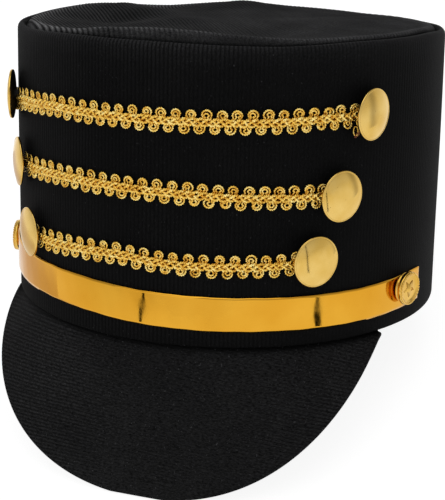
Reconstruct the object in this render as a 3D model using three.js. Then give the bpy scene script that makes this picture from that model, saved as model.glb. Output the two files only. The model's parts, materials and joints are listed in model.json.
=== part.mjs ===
// Costume soldier hat: a black ribbed crown with a soft top, a steep peak, three rows of gold
// braid between domed buttons, and a gold foil band with a small button at each end.
// Millimetres, +Z up. Sizes are given in the hat's own frame, upright, with the crown's lower
// rim at height 0 and the front toward -Y. The whole hat is then leaned back until it stands on
// the peak's edge and the rear of the rim, with its origin under its middle.
// Angles go round the crown from the front, positive toward the wearer's left (+X).

import * as THREE from "three";

// Crown
const CROWN_RADIUS = 97.1;
const CROWN_TAPER = 0.007;
const WALL = 2.5;
const FOOT_BEVEL = 0.4;
const RIM_LIP = 3.3;
const RIM_PROFILE = [
  { inset: 0, below: 2.2 },
  { inset: 0.7, below: 0.7 },
  { inset: 2, below: 0 },
  { inset: 3, below: 0.9 },
  { inset: RIM_LIP, below: 2.2 },
  { inset: WALL, below: 5 },
];
const CROWN_SEGMENTS = 64;
const RIM_HEIGHTS = [
  { angle: -180, height: 118.1 },
  { angle: -164, height: 119.2 },
  { angle: -140, height: 117.4 },
  { angle: -108, height: 120.7 },
  { angle: -85, height: 120.4 },
  { angle: -52, height: 122.3 },
  { angle: -18, height: 125.1 },
  { angle: 0, height: 125.6 },
  { angle: 32, height: 124.8 },
  { angle: 52, height: 125.6 },
  { angle: 80, height: 124.9 },
  { angle: 106, height: 121.9 },
  { angle: 130, height: 119.7 },
  { angle: 155, height: 118 },
  { angle: 180, height: 118.1 },
];

// Soft top panel
const TOP_THICKNESS = 2;
const TOP_MIDDLE_HEIGHT = 120.5;
const TOP_SINK_POWER = 1.4;
const TOP_SEGMENTS = 48;
const TOP_HEM_DROP = 4.2;
const TOP_WELT = [
  { inset: 0, rise: -1.6 },
  { inset: 1.2, rise: 0.6 },
  { inset: 3.4, rise: 1.4 },
  { inset: 6.5, rise: 0.5 },
];
const TOP_RINGS = [76, 62, 46, 30, 14];
const TOP_PUFFS = [
  { x: -72, y: 38, height: 2.4, reach: 16 },
  { x: -48, y: 20, height: 2.2, reach: 14 },
  { x: -22, y: -6, height: 2.2, reach: 16 },
  { x: -60, y: 58, height: -1.8, reach: 12 },
  { x: -20, y: 78, height: 2.6, reach: 18 },
  { x: -56, y: -6, height: -2.2, reach: 15 },
  { x: 18, y: -38, height: -2.6, reach: 20 },
  { x: 44, y: 22, height: 1.6, reach: 26 },
];

// Peak
const VISOR_SPAN = 63.4;
const VISOR_REACH = 108.7;
const VISOR_DROP = 66;
const VISOR_LEVEL = 65.3;
const VISOR_HALF_WIDTH = 86.4;
const VISOR_END_BACK = 43.2;
const VISOR_END_ANGLE = 86;
const VISOR_DROP_POWER = 1.1;
const VISOR_SIDE_POWER = 1.45;
const VISOR_BULGE = 1.6;
const VISOR_THICKNESS = 2.4;
const VISOR_TUCK = 7;
const VISOR_HEM = 0.9;
const VISOR_HEM_INSET = 0.55;
const VISOR_SEAM_RADIUS = 94.05;
const VISOR_SEGMENTS = 33;
const VISOR_STEPS = 5;

// Gold band
const BAND_HALF_HEIGHT = 7.4;
const BAND_THICKNESS = 0.7;
const BAND_SEGMENTS = 44;
const BAND_ROUTE = [
  { angle: -86, height: 17 },
  { angle: -40, height: 16.6 },
  { angle: -22, height: 16.4 },
  { angle: 0, height: 15.1 },
  { angle: 20, height: 14.6 },
  { angle: 52, height: 14.3 },
  { angle: 79.5, height: 15.2 },
];

// Braid
const BRAID_HALF_WIDTH = 6;
const BRAID_SCALLOP = 1.3;
const BRAID_PITCH = 6.3;
const BRAID_THICKNESS = 1.6;
const BRAID_SAMPLES = 4;
const BRAID_ROWS = [
  {
    name: "braid_upper",
    route: [
      { angle: -50.8, height: 90.5 },
      { angle: -44, height: 92.3 },
      { angle: -28, height: 94.1 },
      { angle: 0, height: 94.9 },
      { angle: 25, height: 95.1 },
      { angle: 52.8, height: 96.4 },
    ],
  },
  {
    name: "braid_middle",
    route: [
      { angle: -45.4, height: 63.6 },
      { angle: -22, height: 65.5 },
      { angle: 5, height: 65.6 },
      { angle: 25, height: 64.2 },
      { angle: 44.9, height: 64.1 },
    ],
  },
  {
    name: "braid_lower",
    route: [
      { angle: -38.4, height: 34 },
      { angle: -8, height: 36.9 },
      { angle: 6, height: 35.5 },
      { angle: 28, height: 35.4 },
      { angle: 38.7, height: 36.5 },
    ],
  },
];

// Buttons. Each large one is sewn on beside the end of a braid, which props up its inner side,
// so its face leans outward from its place on the crown.
const GAP = 0.35;
const SHANK_RADIUS = 2.2;
const SHANK_LENGTH = 2.6;
const BUTTON_SIDES = 20;
const BUTTON_PROFILE = [
  { radius: 0, along: 0 },
  { radius: SHANK_RADIUS, along: 0 },
  { radius: SHANK_RADIUS, along: SHANK_LENGTH },
  { radius: 10.3, along: SHANK_LENGTH },
  { radius: 10.8, along: 3.1 },
  { radius: 10.6, along: 3.7 },
  { radius: 8.6, along: 4.4 },
  { radius: 5, along: 4.95 },
  { radius: 0, along: 5.2 },
];
const BUTTONS = [
  { name: "button_upper_right", angle: -52.6, height: 92.2, lean: 17 },
  { name: "button_upper_left", angle: 54.6, height: 96.5, lean: 15.5 },
  { name: "button_middle_right", angle: -47.2, height: 64.1, lean: 6 },
  { name: "button_middle_left", angle: 46.7, height: 63.8, lean: 11 },
  { name: "button_lower_right", angle: -40.2, height: 35.1, lean: 3 },
  { name: "button_lower_left", angle: 40.5, height: 37.2, lean: 11 },
];
const STRAP_BUTTON_SIDES = 18;
const STRAP_BUTTON_PROFILE = [
  { radius: 0, along: 0 },
  { radius: 6.8, along: 0 },
  { radius: 7.5, along: 0.8 },
  { radius: 7.5, along: 3.4 },
  { radius: 6.8, along: 4.3 },
  { radius: 5.9, along: 4 },
  { radius: 0, along: 4.3 },
];
const STRAP_BUTTONS = [
  { name: "strap_button_right", angle: -77.5, height: 15.4 },
  { name: "strap_button_left", angle: 70.7, height: 16.9 },
];

const black = new THREE.MeshStandardMaterial({ color: 0x17171a, roughness: 0.85, metalness: 0 });
const blackTop = new THREE.MeshStandardMaterial({ color: 0x1e1e21, roughness: 0.85, metalness: 0 });
const foil = new THREE.MeshStandardMaterial({ color: 0xe1a52d, roughness: 0.12, metalness: 1 });
const cord = new THREE.MeshStandardMaterial({ color: 0xdcaf3c, roughness: 0.4, metalness: 0.9 });
const gilt = new THREE.MeshStandardMaterial({ color: 0xe6c878, roughness: 0.25, metalness: 1 });

const radians = THREE.MathUtils.degToRad;

// Smooth value of a table with named columns at an angle, eased between its rows.
function along(table, angle) {
  let row = 0;
  while (row < table.length - 2 && angle > table[row + 1].angle) {
    row += 1;
  }
  const from = table[row];
  const to = table[row + 1];
  const share = THREE.MathUtils.clamp((angle - from.angle) / (to.angle - from.angle), 0, 1);
  const eased = (1 - Math.cos(Math.PI * share)) / 2;
  return THREE.MathUtils.lerp(from.height, to.height, (share + eased) / 2);
}

function wallRadius(height) {
  return CROWN_RADIUS - CROWN_TAPER * height;
}

// Point at a radius, an angle round the crown and a height.
function onCrown(radius, angle, height) {
  const turn = radians(angle);
  return new THREE.Vector3(radius * Math.sin(turn), -radius * Math.cos(turn), height);
}

// Collects triangles, welds their corners and drops the ones that shrink to a line.
class Surface {
  constructor() {
    this.corners = [];
    this.faces = [];
    this.known = new Map();
  }

  corner(point) {
    const key = point.toArray().map((value) => value.toFixed(4)).join(" ");
    if (!this.known.has(key)) {
      this.known.set(key, this.corners.length);
      this.corners.push(point);
    }
    return this.known.get(key);
  }

  triangle(a, b, c) {
    const face = [this.corner(a), this.corner(b), this.corner(c)];
    if (new Set(face).size === 3) {
      this.faces.push(...face);
    }
  }

  quad(a, b, c, d) {
    this.triangle(a, b, c);
    this.triangle(a, c, d);
  }

  geometry() {
    const geometry = new THREE.BufferGeometry();
    const values = this.corners.flatMap((point) => point.toArray());
    geometry.setAttribute("position", new THREE.Float32BufferAttribute(values, 3));
    geometry.setIndex(this.faces);
    geometry.computeVertexNormals();
    return geometry;
  }
}

// Body whose cross-sections go once round the crown and meet themselves.
function ringBody(sections) {
  const surface = new Surface();
  sections.forEach((section, index) => {
    const next = sections[(index + 1) % sections.length];
    section.forEach((point, place) => {
      const follower = (place + 1) % section.length;
      surface.quad(point, next[place], next[follower], section[follower]);
    });
  });
  return surface.geometry();
}

// Body whose cross-sections are strips: the first half of each runs along the outer side and
// the second half comes back along the inner side. Both ends are closed.
function stripBody(sections) {
  const surface = new Surface();
  const count = sections[0].length;
  for (let index = 0; index < sections.length - 1; index += 1) {
    const section = sections[index];
    const next = sections[index + 1];
    for (let place = 0; place < count; place += 1) {
      const follower = (place + 1) % count;
      surface.quad(section[place], next[place], next[follower], section[follower]);
    }
  }
  const first = sections[0];
  const last = sections[sections.length - 1];
  for (let place = 0; place < count / 2 - 1; place += 1) {
    const mate = count - 1 - place;
    surface.quad(first[place], first[place + 1], first[mate - 1], first[mate]);
    surface.quad(last[place], last[mate], last[mate - 1], last[place + 1]);
  }
  return surface.geometry();
}

// Half a segment of turn puts a flat of the rim at the very back, where the hat stands.
function ringAngles(count) {
  return Array.from({ length: count }, (_, index) => -180 + ((index + 0.5) * 360) / count);
}

// Cloth wall of the crown, with a narrow flat foot and a rolled rim that leans inward.
function crownWall() {
  const sections = ringAngles(CROWN_SEGMENTS).map((angle) => {
    const rim = along(RIM_HEIGHTS, angle);
    const profile = [
      { inset: FOOT_BEVEL, height: 0 },
      { inset: 0, height: FOOT_BEVEL },
      ...RIM_PROFILE.map((row) => ({ inset: row.inset, height: rim - row.below })),
      { inset: WALL, height: FOOT_BEVEL },
      { inset: WALL - FOOT_BEVEL, height: 0 },
    ];
    return profile.map((row) => onCrown(wallRadius(row.height) - row.inset, angle, row.height));
  });
  return ringBody(sections);
}

// Rise of the soft top over its edge: it sinks toward the middle, with puffs and hollows.
function topHeight(x, y) {
  const angle = THREE.MathUtils.radToDeg(Math.atan2(x, -y));
  const share = Math.min(Math.hypot(x, y) / CROWN_RADIUS, 1) ** TOP_SINK_POWER;
  let height = THREE.MathUtils.lerp(TOP_MIDDLE_HEIGHT, along(RIM_HEIGHTS, angle), share);
  for (const puff of TOP_PUFFS) {
    const away = Math.hypot(x - puff.x, y - puff.y) / puff.reach;
    height += puff.height * Math.exp(-away * away);
  }
  return height;
}

// Soft top panel: a hem in the rim's groove, a welt above it and a waved sheet inside the welt.
function crownTop() {
  const sections = ringAngles(TOP_SEGMENTS).map((angle) => {
    const rim = along(RIM_HEIGHTS, angle);
    const radius = wallRadius(rim) - RIM_LIP - 2 * GAP;
    const welt = TOP_WELT.map((row) => onCrown(radius - row.inset, angle, rim + row.rise));
    const sheet = TOP_RINGS.map((ring) => {
      const point = onCrown(ring, angle, 0);
      return point.setZ(topHeight(point.x, point.y));
    });
    const centre = new THREE.Vector3(0, 0, topHeight(0, 0));
    const underside = [...welt.slice(2), ...sheet, centre].map((point) => {
      return point.clone().setZ(point.z - TOP_THICKNESS);
    });
    return [
      onCrown(radius, angle, rim - TOP_HEM_DROP),
      ...welt,
      ...sheet,
      centre,
      ...underside.reverse(),
      onCrown(radius - TOP_THICKNESS, angle, rim - TOP_HEM_DROP),
    ];
  });
  return ringBody(sections);
}

// Point of the peak's outer face. The turn runs from -90 to 90 across the peak, and the share
// from 0 at the crown's rim to 1 at the peak's edge.
function visorPoint(turn, share) {
  const side = Math.sin(radians(turn));
  const front = Math.cos(radians(turn));
  const seam = onCrown(VISOR_SEAM_RADIUS, (VISOR_SPAN * turn) / 90, -FOOT_BEVEL);
  const forward = 1 - (1 - front) ** VISOR_SIDE_POWER;
  const edge = new THREE.Vector3(
    VISOR_HALF_WIDTH * side,
    -THREE.MathUtils.lerp(VISOR_END_BACK, VISOR_REACH, forward),
    -Math.min(VISOR_DROP * front ** VISOR_DROP_POWER, VISOR_LEVEL) - FOOT_BEVEL,
  );
  const point = seam.clone().lerp(edge, share);
  const out = new THREE.Vector3(point.x, point.y, 0).normalize();
  return point.addScaledVector(out, VISOR_BULGE * front * 4 * share * (1 - share));
}

// Outward normal of the peak's outer face.
function visorNormal(turn, share) {
  const step = 0.01;
  const across = visorPoint(turn + step, share).sub(visorPoint(turn - step, share));
  const down = visorPoint(turn, share + step).sub(visorPoint(turn, share - step));
  return down.cross(across).normalize();
}

// Peak: a stiff curved sheet that is tucked up inside the crown's wall and hangs steeply. Its
// lower edge is narrowed a little, as a folded hem is.
function visor() {
  const sections = [];
  for (let index = 0; index <= VISOR_SEGMENTS; index += 1) {
    const turn = THREE.MathUtils.lerp(-VISOR_END_ANGLE, VISOR_END_ANGLE, index / VISOR_SEGMENTS);
    const seam = visorPoint(turn, 0);
    const inward = seam.clone().setZ(0).normalize().multiplyScalar(-VISOR_THICKNESS);
    const tuck = seam.clone().setZ(VISOR_TUCK);
    const outer = [tuck];
    const inner = [tuck.clone().add(inward)];
    for (let step = 0; step < VISOR_STEPS; step += 1) {
      const share = step / VISOR_STEPS;
      const point = visorPoint(turn, share);
      outer.push(point);
      inner.push(point.clone().addScaledVector(visorNormal(turn, share), -VISOR_THICKNESS));
    }
    const edge = visorPoint(turn, 1);
    const normal = visorNormal(turn, 1);
    const rise = seam.clone().sub(edge).setLength(VISOR_HEM);
    const fold = edge.clone().add(rise);
    outer.push(fold, edge.clone().addScaledVector(normal, -VISOR_HEM_INSET));
    inner.push(fold.clone().addScaledVector(normal, -VISOR_THICKNESS));
    inner.push(edge.clone().addScaledVector(normal, VISOR_HEM_INSET - VISOR_THICKNESS));
    sections.push([...outer.reverse(), ...inner]);
  }
  return stripBody(sections);
}

// Thin foil strip round the front of the crown.
function goldBand() {
  const sections = [];
  const start = BAND_ROUTE[0].angle;
  const end = BAND_ROUTE[BAND_ROUTE.length - 1].angle;
  for (let index = 0; index <= BAND_SEGMENTS; index += 1) {
    const angle = THREE.MathUtils.lerp(start, end, index / BAND_SEGMENTS);
    const middle = along(BAND_ROUTE, angle);
    const inside = wallRadius(middle) + GAP;
    const outside = inside + BAND_THICKNESS;
    sections.push([
      onCrown(outside, angle, middle - BAND_HALF_HEIGHT),
      onCrown(outside, angle, middle + BAND_HALF_HEIGHT),
      onCrown(inside, angle, middle + BAND_HALF_HEIGHT),
      onCrown(inside, angle, middle - BAND_HALF_HEIGHT),
    ]);
  }
  return stripBody(sections);
}

// Row of looped braid as one strip, with its two scalloped edges half a loop apart.
function braidRow(route) {
  const start = route[0].angle;
  const end = route[route.length - 1].angle;
  const length = radians(end - start) * CROWN_RADIUS;
  const loops = Math.round(length / BRAID_PITCH);
  const count = loops * BRAID_SAMPLES;
  const sections = [];
  for (let index = 0; index <= count; index += 1) {
    const angle = THREE.MathUtils.lerp(start, end, index / count);
    const wave = Math.cos((2 * Math.PI * index) / BRAID_SAMPLES);
    const above = BRAID_HALF_WIDTH - (BRAID_SCALLOP * (1 - wave)) / 2;
    const below = BRAID_HALF_WIDTH - (BRAID_SCALLOP * (1 + wave)) / 2;
    const middle = along(route, angle);
    const inside = wallRadius(middle) + GAP;
    const outside = inside + BRAID_THICKNESS;
    sections.push([
      onCrown(outside, angle, middle - below),
      onCrown(outside, angle, middle + above),
      onCrown(inside, angle, middle + above),
      onCrown(inside, angle, middle - below),
    ]);
  }
  return stripBody(sections);
}

function turned(profile, sides) {
  return new THREE.LatheGeometry(profile.map((row) => new THREE.Vector2(row.radius, row.along)), sides);
}

// Button that faces straight out from the crown, its foot lifted clear of what lies under it.
function placeButton(row, geometry, lift) {
  const outward = onCrown(1, row.angle, 0);
  const sideways = onCrown(1, row.angle + 90, 0);
  const frame = new THREE.Matrix4().makeBasis(sideways, outward, new THREE.Vector3(0, 0, -1));
  const mesh = piece(row.name, geometry, gilt);
  mesh.position.copy(onCrown(wallRadius(row.height) + lift, row.angle, row.height));
  mesh.quaternion.setFromRotationMatrix(frame);
  return mesh;
}

// Button on a shank, leaned outward from the middle of the front until its foot's edge is a
// gap clear of the wall.
function leanedButton(row) {
  const lean = radians(row.lean);
  const lift = GAP + SHANK_RADIUS * Math.sin(lean);
  const mesh = placeButton(row, turned(BUTTON_PROFILE, BUTTON_SIDES), lift);
  mesh.rotateZ(-Math.sign(row.angle) * lean);
  return mesh;
}

function piece(name, geometry, material) {
  const mesh = new THREE.Mesh(geometry, material);
  mesh.name = name;
  return mesh;
}

// Lowest point of the front or rear half of a body, once the hat leans back by an angle.
function lowest(geometry, lean, half) {
  const position = geometry.getAttribute("position");
  let low = Infinity;
  for (let index = 0; index < position.count; index += 1) {
    const y = position.getY(index);
    if (y * half > 0) {
      low = Math.min(low, position.getZ(index) * Math.cos(lean) - y * Math.sin(lean));
    }
  }
  return low;
}

// Lean at which the peak's edge and the rear of the rim touch the same level surface.
function restLean(wall, peak) {
  let small = 0;
  let large = Math.PI / 4;
  for (let round = 0; round < 40; round += 1) {
    const lean = (small + large) / 2;
    if (lowest(peak, lean, -1) < lowest(wall, lean, 1)) {
      small = lean;
    } else {
      large = lean;
    }
  }
  return (small + large) / 2;
}

const wallGeometry = crownWall();
const visorGeometry = visor();
const hat = new THREE.Group();
hat.add(piece("crown_wall", wallGeometry, black));
hat.add(piece("crown_top", crownTop(), blackTop));
hat.add(piece("visor", visorGeometry, black));
hat.add(piece("gold_band", goldBand(), foil));
for (const row of BRAID_ROWS) {
  hat.add(piece(row.name, braidRow(row.route), cord));
}
for (const row of BUTTONS) {
  hat.add(leanedButton(row));
}
for (const row of STRAP_BUTTONS) {
  hat.add(placeButton(row, turned(STRAP_BUTTON_PROFILE, STRAP_BUTTON_SIDES), 2 * GAP + BAND_THICKNESS));
}

// The hat leans back to rest, then its bounding box is centred over the origin.
hat.rotation.x = -restLean(wallGeometry, visorGeometry);
hat.updateMatrixWorld(true);
const bounds = new THREE.Box3().setFromObject(hat, true);
const middle = bounds.getCenter(new THREE.Vector3());
hat.position.set(-middle.x, -middle.y, -bounds.min.z);

const part = new THREE.Group();
part.add(hat);
part.updateMatrixWorld(true);

export default part;
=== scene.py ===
import json
import math

import bmesh
import bpy
import numpy as np
from mathutils import Matrix, Vector


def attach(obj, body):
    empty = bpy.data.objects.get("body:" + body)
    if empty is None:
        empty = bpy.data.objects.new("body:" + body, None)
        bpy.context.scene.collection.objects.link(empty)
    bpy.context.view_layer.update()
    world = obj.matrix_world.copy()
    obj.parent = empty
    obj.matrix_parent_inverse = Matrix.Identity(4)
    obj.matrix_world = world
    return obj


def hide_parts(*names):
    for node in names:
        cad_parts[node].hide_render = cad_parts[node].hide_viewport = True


# Costume soldier hat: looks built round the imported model. Sizes are in millimetres in the hat's
# own frame: upright, front toward -Y, height 0 at the crown's lower rim, angles in degrees from
# the front toward the wearer's left. Left and right in the pieces' names are the wearer's.

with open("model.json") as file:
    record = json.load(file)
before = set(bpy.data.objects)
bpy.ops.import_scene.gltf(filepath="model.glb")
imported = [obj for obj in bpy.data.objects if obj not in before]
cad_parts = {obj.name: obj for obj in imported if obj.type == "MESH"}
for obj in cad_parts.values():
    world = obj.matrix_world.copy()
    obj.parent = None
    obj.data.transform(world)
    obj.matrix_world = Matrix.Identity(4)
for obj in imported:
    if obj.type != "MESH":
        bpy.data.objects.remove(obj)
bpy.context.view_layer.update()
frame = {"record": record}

MM = 0.001

# Crown. The rim's mount lies at RIM_MOUNT_X to the wearer's left.
CROWN_RADIUS = 97.1
CROWN_TAPER = 0.007
WALL = 2.5
WALL_LEVELS = 24
RIM_LIP = 3.3
RIM_MOUNT_X = 95.735
# Height of the rim: angle, height
RIM_HEIGHTS = [
    (-180, 118.1), (-164, 119.2), (-140, 117.4), (-108, 120.7), (-85, 120.4),
    (-52, 122.3), (-18, 125.1), (0, 125.6), (32, 124.8), (52, 125.6),
    (80, 124.9), (106, 121.9), (130, 119.7), (155, 118), (180, 118.1),
]
# Rolled rim, from the outside of the wall to its inside: inset, depth below the rim, share of the ribs
RIM_PROFILE = [
    (0, 3.4, 0.85), (0.02, 2.4, 0.85), (0.25, 1.45, 0.85), (0.75, 0.65, 0.85), (1.4, 0.15, 0.85),
    (2, 0, 0.85), (2.55, 0.25, 0.85), (2.95, 0.85, 0.2), (3.2, 1.6, 0.2), (RIM_LIP, 2.6, 0.2),
    (2.9, 4, 0.2), (WALL, 5.4, 0.85),
]
# Folded foot of the wall, from the inside out: inset, height, share of the ribs
FOOT_PROFILE = [(WALL - 0.5, 0, 0.3), (1.25, -0.02, 0.3), (0.5, 0, 0.3), (0.12, 0.25, 0.3), (0, 0.7, 0.8)]

# Ribbed cloth. Samples are points to each rib.
RIB_PITCH = 1.76
RIB_DEPTH = 0.14
RIB_MEAN = 0.75
RIB_ROUNDNESS = 0.55
# Strength of the painted rib shading, and the rib height at which it neither lightens nor darkens
RIB_TONE_GAIN, RIB_TONE_MIDDLE = 2.5, 0.68
# Strength of the painted sheen along the crown's rim
RIM_SHEEN = 3
CROWN_RIB_SAMPLES = 5
VISOR_RIB_SAMPLES = 4.8
VISOR_RIB_PITCH = 1.46
VISOR_RIB_TILT = 0.085
VISOR_RIB_BOW = 0.0013
TOP_RIB_SAMPLES = 4
TOP_RIB_TURN = 35

# Soft top
TOP_RADIUS = 92.25
TOP_ROWS = 110
JUST_INSIDE = 0.9999
TOP_MIDDLE_HEIGHT = 120.5
TOP_SINK_POWER = 1.4
TOP_WELT_RISE = 1.5
TOP_WELT_INSET = 3.4
TOP_WELT_REACH = 3.4
TOP_EDGE_DROP = 1.9
TOP_EDGE_POWER = 2.4
TOP_EDGE_BLEND = 16
TOP_HEM_DROP = 4.2
TOP_THICKNESS = 2
TOP_INNER_RADIUS = TOP_RADIUS - TOP_THICKNESS
# Higher roll along the top's front edge: angle, rise
TOP_ROLL = [
    (-180, 0), (-27, 0), (-13, 2.2), (-2, 3.1), (9, 3.1), (21, 2.1),
    (31, 1.3), (40, 0.3), (48, 0), (180, 0),
]
# Hem that hangs from the top's edge: radius, height above the hem's own level
TOP_HEM = [(TOP_RADIUS, 1.6), (93.75, 0.4), (93.75, -0.8), (TOP_INNER_RADIUS, -0.8)]
TOP_UNDERSIDE_SHARES = (0.98, 0.94, 0.88, 0.76, 0.6, 0.45, 0.3, 0.15, 0.0)
TOP_PUFFS = [
    {"x": -72, "y": 38, "height": 2.4, "reach": 16},
    {"x": -48, "y": 20, "height": 2.2, "reach": 14},
    {"x": -22, "y": -6, "height": 2.2, "reach": 16},
    {"x": -60, "y": 58, "height": -1.8, "reach": 12},
    {"x": -20, "y": 78, "height": 2.6, "reach": 18},
    {"x": -56, "y": -6, "height": -2.2, "reach": 15},
    {"x": 18, "y": -38, "height": -2.6, "reach": 20},
    {"x": 44, "y": 22, "height": 1.6, "reach": 26},
]

# Peak
VISOR_COLUMNS = 180
VISOR_SPAN = 63.4
VISOR_REACH = 108.7
VISOR_DROP = 66
VISOR_LEVEL = 65.3
VISOR_HALF_WIDTH = 87.1
VISOR_END_BACK = 43.2
VISOR_END_ANGLE = 89.2
VISOR_DROP_POWER = 1.1
VISOR_SIDE_POWER = 1.45
VISOR_BULGE = 1.6
VISOR_THICKNESS = 2.4
VISOR_SEAM_RADIUS = 94.05
VISOR_SEAM_DROP = 0.4
VISOR_TUCK = 7
VISOR_HEM = 0.5
# Fold round the peak's edge: share of the hem, depth below the outer face
VISOR_FOLD = [(0.7, 0.35), (1, 1.2), (0.7, 2.05)]

# Gold band
BAND_COLUMNS, BAND_ROWS = 560, 16
BAND_HALF_HEIGHT = 7.4
BAND_THICKNESS = 0.7
BAND_BACK_GAP = 0.16
# Middle line of the band: angle, height
BAND_ROUTE = [
    (-86, 17), (-40, 16.6), (-22, 16.4), (0, 15.1), (20, 14.6), (52, 14.3), (79.5, 15.2),
]

# Braid. A lay is the length of cord to each ply, and a groove is half the depth between plies as a
# share of the cord's radius.
BRAID_SEED = 40
BRAID_PITCH = 6.2
CORD_LAY = 0.85
CORD_GROOVE = 0.24
RINGS = [
    {"radius": 1.92, "offset": 2.7, "wrap": 262, "proud": 0.75, "cord": 0.57, "samples": 8},
    {"radius": 0.98, "offset": 2.75, "wrap": 300, "proud": 1.0, "cord": 0.5, "samples": 6},
]
PLAIT = {
    "strands": 3, "radius": 0.82, "lay": 1.05, "groove": 0.26,
    "swing": 1.3, "proud": 1.85, "rise": 0.45, "samples": 32,
}
FRAY_THREADS = 12
FRAY_SHORTEST, FRAY_LONGEST = 2.5, 6
FRAY_SHORT_SHARE = 0.45
FRAY_RADIUS = 0.13
FRAY_LAY = 0.8
FRAY_INSET = 2.5
FRAY_SPREAD = 3.8
FRAY_PROUD = 0.9
# Middle lines of the braids: angle, height
BRAIDS = {
    "braid_upper": [
        (-59.5, 88.2), (-51.6, 90.3), (-44, 92.3), (-28, 94.1), (0, 94.9), (25, 95.1), (53.4, 96.4),
    ],
    "braid_middle": [(-46.2, 63.6), (-22, 65.5), (5, 65.6), (25, 64.2), (45.6, 64.1)],
    "braid_lower": [(-39.2, 34), (-8, 36.9), (6, 35.5), (28, 35.4), (39.4, 36.5)],
}

# Buttons
GAP = 0.35
SHANK_RADIUS = 2.2
BUTTON_RADIUS = 10.8
BUTTON_SIDES = 96
DOME_RADIUS = 10.1
DOME_HEIGHT = 5.2
DOME_RISE = 1.45
DOME_POWER = 2.5
DOME_ROWS = 34
LIP_RADIUS = 0.5
LIP_UPPER, LIP_LOWER = 3.28, 3.1
LIP_START, LIP_END = (10.14, 3.72), (9.9, 2.62)
# Black back of a large button: radius, distance from the foot
BACK_PROFILE = [
    (9.9, 2.7), (9.8, 2.5), (9.2, 2.42), (8.2, 2.5), (3.2, 2.5), (SHANK_RADIUS, 2.3),
    (SHANK_RADIUS * 0.95, 0.4), (SHANK_RADIUS, 0.0), (0.0, 0.0),
]
BUTTONS = [
    {"name": "button_upper_right", "angle": -52.6, "height": 92.2, "lean": 17},
    {"name": "button_upper_left", "angle": 54.6, "height": 96.5, "lean": 15.5},
    {"name": "button_middle_right", "angle": -47.2, "height": 64.1, "lean": 6},
    {"name": "button_middle_left", "angle": 46.7, "height": 63.8, "lean": 11},
    {"name": "button_lower_right", "angle": -40.2, "height": 35.1, "lean": 3},
    {"name": "button_lower_left", "angle": 40.5, "height": 37.2, "lean": 11},
]
STRAP_BUTTON_SIDES = 72
# Small button: radius, distance from the foot
STRAP_BUTTON_PROFILE = [
    (0.0, 0.05), (6.2, 0.05), (6.6, 0.35), (6.6, 0.8), (6.1, 1.15), (6.1, 1.4), (7.1, 1.75), (7.35, 2.2),
    (7.3, 3.2), (7.0, 3.7), (6.2, 3.75), (5.85, 3.3), (5.2, 3.1), (3.6, 3.2), (1.8, 3.3), (0.0, 3.3),
]
ROPE = {
    "beads": 34, "samples": 7, "circle": 6.72, "height": 3.72,
    "radius": 0.52, "groove": 0.2, "sides": 10,
}
STAR = {"points": 5, "outer": 4.1, "inner": 1.8, "height": 3.15, "rise": 1.05, "turn": 0.35}
STRAP_BUTTONS = [
    {"name": "strap_button_right", "angle": -77.5, "height": 15.4},
    {"name": "strap_button_left", "angle": 70.7, "height": 16.9},
]

# Camera, in the hat's own frame
IMAGE_WIDTH, IMAGE_HEIGHT = 445, 500
CAMERA_AZIMUTH = 19.6
CAMERA_ELEVATION = 16.58
CAMERA_ROLL = 1.16
CAMERA_DISTANCE = 700
CAMERA_AIM_HEIGHT = 13.52
CAMERA_FOCAL_PX = 1474.05
CAMERA_CENTRE_PX = 227.14
SENSOR_MM = 36

# Studio, in the row's frame, in metres. The bearing of the camera is in degrees from the front.
VIEW_BEARING = 22.6
FLOOR_SIZE = 14
FLOOR_GLOW = 0.88
FLOOR_PAINT = 0.25
FLOOR_EVEN_REACH = 0.3
# Tone of the floor and the surroundings: share of the way to the side, tone
SIDE_TONES = [(0.38, 1), (0.95, 0.76)]
# Tone of the surroundings: height of the direction, tone
SKY_TONES = [(0.0, 1.0), (0.2, 0.9), (0.55, 0.55), (1.0, 0.42)]
LIGHT_AIM = (0, 0, 0.1)
LIGHTS = [
    {"name": "overhead", "place": (0.1, -0.1, 1.6), "size": 1.6, "power": 7},
    {"name": "front", "place": (-0.5, -1.5, 1.1), "size": 1.5, "power": 3},
]
# Cards that the foil and the domes mirror, right and left as the camera sees them. The widths are
# rows of height and width. A soft card fades out to its sides, and a flat one lies on the floor.
BLACK_CARD, AMBER_CARD = (0.004, 0.004, 0.004, 1), (0.4, 0.15, 0.06, 1)
FLAGS = [
    {
        "name": "flag_right", "x": 0.268, "y": -0.155,
        "colour": BLACK_CARD, "solid": 1.0,
        "widths": [
            (0, 0.004), (0.012, 0.009), (0.022, 0.011), (0.034, 0.009), (0.06, 0.008), (0.25, 0.007),
        ],
    },
    {
        "name": "flag_left", "x": -0.195, "y": -0.49,
        "colour": BLACK_CARD, "solid": 1.0,
        "widths": [
            (0, 0.005), (0.015, 0.009), (0.03, 0.015), (0.045, 0.018),
            (0.06, 0.015), (0.08, 0.009), (0.2, 0.005),
        ],
    },
    {
        "name": "flag_rear", "x": 0.318, "y": 0.075,
        "colour": BLACK_CARD, "solid": 0.4, "soft": True,
        "widths": [(0, 0.12), (0.2, 0.12)],
    },
    # The flat amber card is a painted shadow of the hat on the floor beside it, and shows only in
    # reflections
    {
        "name": "flag_low", "x": -0.24, "y": -0.13,
        "colour": AMBER_CARD, "solid": 0.42, "soft": True, "flat": True,
        "widths": [(0, 0.3), (0.26, 0.3)],
    },
]


def hat_matrix():
    """Places the hat's own frame, in metres, in the row's frame, from the rim's mount."""
    mount = next(row for row in frame["record"]["mounts"] if row["name"] == "crown_rim")
    down = Vector(mount["axis"])
    lean = math.atan2(-down.y, -down.z)
    origin = Vector(mount["pos_m"]) - Vector((RIM_MOUNT_X * MM, 0, 0))
    return Matrix.Translation(origin) @ Matrix.Rotation(-lean, 4, "X")


HAT = hat_matrix()


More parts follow.
